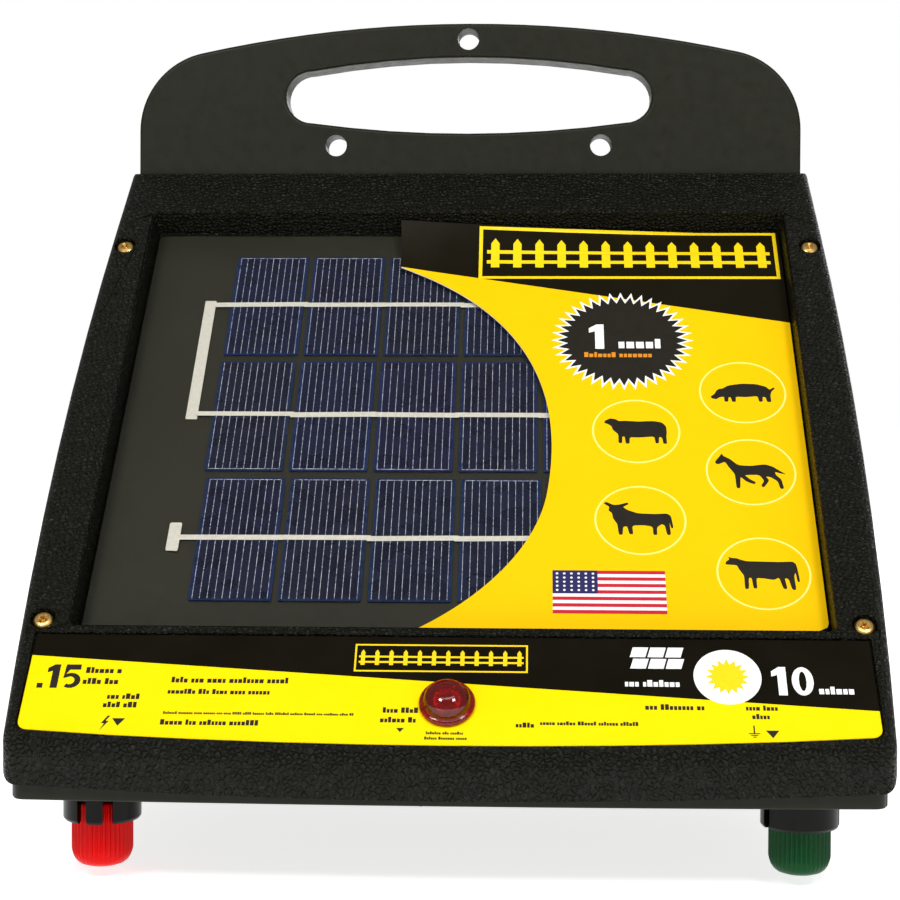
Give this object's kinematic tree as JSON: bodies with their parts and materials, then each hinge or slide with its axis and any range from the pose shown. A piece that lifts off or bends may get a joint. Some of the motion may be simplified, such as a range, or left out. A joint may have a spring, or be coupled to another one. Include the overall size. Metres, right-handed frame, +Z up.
{
  "type": "fence energizer",
  "caption": "Solar fence energizer: wedge case with handle plate, lid with recessed panel and label, indicator lens, wire terminals and switch below.",
  "frame": {"origin": "middle of the flat back of the case, on the face that lies against a wall or post", "axes": "+Z up as it hangs, +Y from the face towards the wall, +X to the right seen from the front"},
  "size_m": [0.2638, 0.203, 0.2811],
  "materials": {
    "textured_black_plastic": "leather-grained, moulded",
    "satin_black_plastic": "smooth satin, moulded",
    "gloss_black_plastic": "smooth, semi-gloss",
    "panel_board": "smooth olive-black board",
    "solar_cell": "blue polycrystalline silicon with printed grid lines",
    "tinned_ribbon": "tinned copper",
    "clear_sheet": "clear laminate",
    "printed_card": "printed card, coated",
    "printed_label": "printed film label",
    "plated_screw": "yellow zinc plated",
    "zinc_steel": "bright zinc plated",
    "red_lens": "clear red moulded lens",
    "red_plastic": "ribbed, moulded",
    "green_plastic": "ribbed, moulded",
    "circuit_board": "green solder mask",
    "winding": "taped copper winding",
    "lamination": "stacked silicon steel sheets",
    "battery_case": "moulded battery case",
    "capacitor_sleeve": "shrink sleeve or box",
    "aluminium": "extruded",
    "black_foam": "closed-cell foam",
    "red_lead": "insulated wire",
    "black_lead": "insulated wire",
    "green_lead": "insulated wire",
    "nylon": "natural nylon"
  },
  "bodies": {
    "case": {"rear_case": "satin_black_plastic", "fence_terminal_shroud": "gloss_black_plastic", "fence_terminal_stud": "zinc_steel", "fence_terminal_nut": "zinc_steel", "fence_terminal_lug": "tinned_ribbon", "ground_terminal_shroud": "gloss_black_plastic", "ground_terminal_stud": "zinc_steel", "ground_terminal_nut": "zinc_steel", "ground_terminal_lug": "tinned_ribbon", "switch_body": "gloss_black_plastic", "circuit_board": "circuit_board", "board_screw_1": "plated_screw", "board_screw_2": "plated_screw", "board_screw_3": "plated_screw", "board_screw_4": "plated_screw", "transformer_core": "lamination", "transformer_coil": "winding", "storage_capacitor": "capacitor_sleeve", "filter_capacitor": "gloss_black_plastic", "charge_inductor": "lamination", "heat_sink": "aluminium", "output_thyristor": "gloss_black_plastic", "battery_header": "nylon", "panel_header": "nylon", "output_block": "capacitor_sleeve", "battery": "battery_case", "battery_pad": "black_foam", "battery_tab_positive": "tinned_ribbon", "battery_tab_negative": "tinned_ribbon", "battery_bracket": "zinc_steel", "bracket_screw_left": "plated_screw", "bracket_screw_right": "plated_screw", "fence_lead": "red_lead", "ground_lead": "green_lead", "battery_lead_red": "red_lead"},
    "lid": {"front_cover": "textured_black_plastic", "cover_screw_top_left": "plated_screw", "cover_screw_top_right": "plated_screw", "cover_screw_bottom_left": "plated_screw", "cover_screw_bottom_right": "plated_screw", "front_label": "printed_label", "solar_panel_board": "panel_board", "cell_string_top": "solar_cell", "cell_string_middle": "solar_cell", "cell_string_bottom": "solar_cell", "bus_ribbon": "tinned_ribbon", "panel_cover_sheet": "clear_sheet", "panel_junction_block": "gloss_black_plastic", "panel_lead": "black_lead", "panel_plug": "nylon", "indicator_lens": "red_lens", "indicator_lamp": "red_lens", "lens_retainer": "zinc_steel"},
    "card": {"display_card": "printed_card"},
    "fence_washer": {"fence_clamp_washer": "zinc_steel"},
    "fence_knob": {"fence_terminal_knob": "red_plastic"},
    "ground_washer": {"ground_clamp_washer": "zinc_steel"},
    "ground_knob": {"ground_terminal_knob": "green_plastic"},
    "rocker": {"switch_rocker": "gloss_black_plastic"}
  },
  "joints": [
    {"name": "lid_lift_off", "type": "slide", "parent": "case", "child": "lid", "axis": [0, -0.7071, 0.7071], "range_m": [0, 0.12]},
    {"name": "card_lift_off", "type": "slide", "parent": "lid", "child": "card", "axis": [0, -0.7071, 0.7071], "range_m": [0, 0.06]},
    {"name": "power_switch", "type": "hinge", "parent": "case", "child": "rocker", "pos_m": [-0.014, -0.168, -0.1], "axis": [0, 1, 0], "range_deg": [-22, 0]},
    {"name": "fence_washer_travel", "type": "slide", "parent": "case", "child": "fence_washer", "axis": [0, 0, -1], "range_m": [0, 0.0032]},
    {"name": "fence_knob_turn", "type": "hinge", "parent": "fence_washer", "child": "fence_knob", "pos_m": [-0.104, -0.1753, -0.115], "axis": [0, 0, -1], "range_deg": [0, 1440]},
    {"name": "ground_washer_travel", "type": "slide", "parent": "case", "child": "ground_washer", "axis": [0, 0, -1], "range_m": [0, 0.0032]},
    {"name": "ground_knob_turn", "type": "hinge", "parent": "ground_washer", "child": "ground_knob", "pos_m": [0.104, -0.1753, -0.115], "axis": [0, 0, -1], "range_deg": [0, 1440]}
  ],
  "couplings": [
    {"joint": "fence_knob_turn", "follows": "fence_washer_travel", "rad_per_m": 7854},
    {"joint": "ground_knob_turn", "follows": "ground_washer_travel", "rad_per_m": 7854}
  ]
}
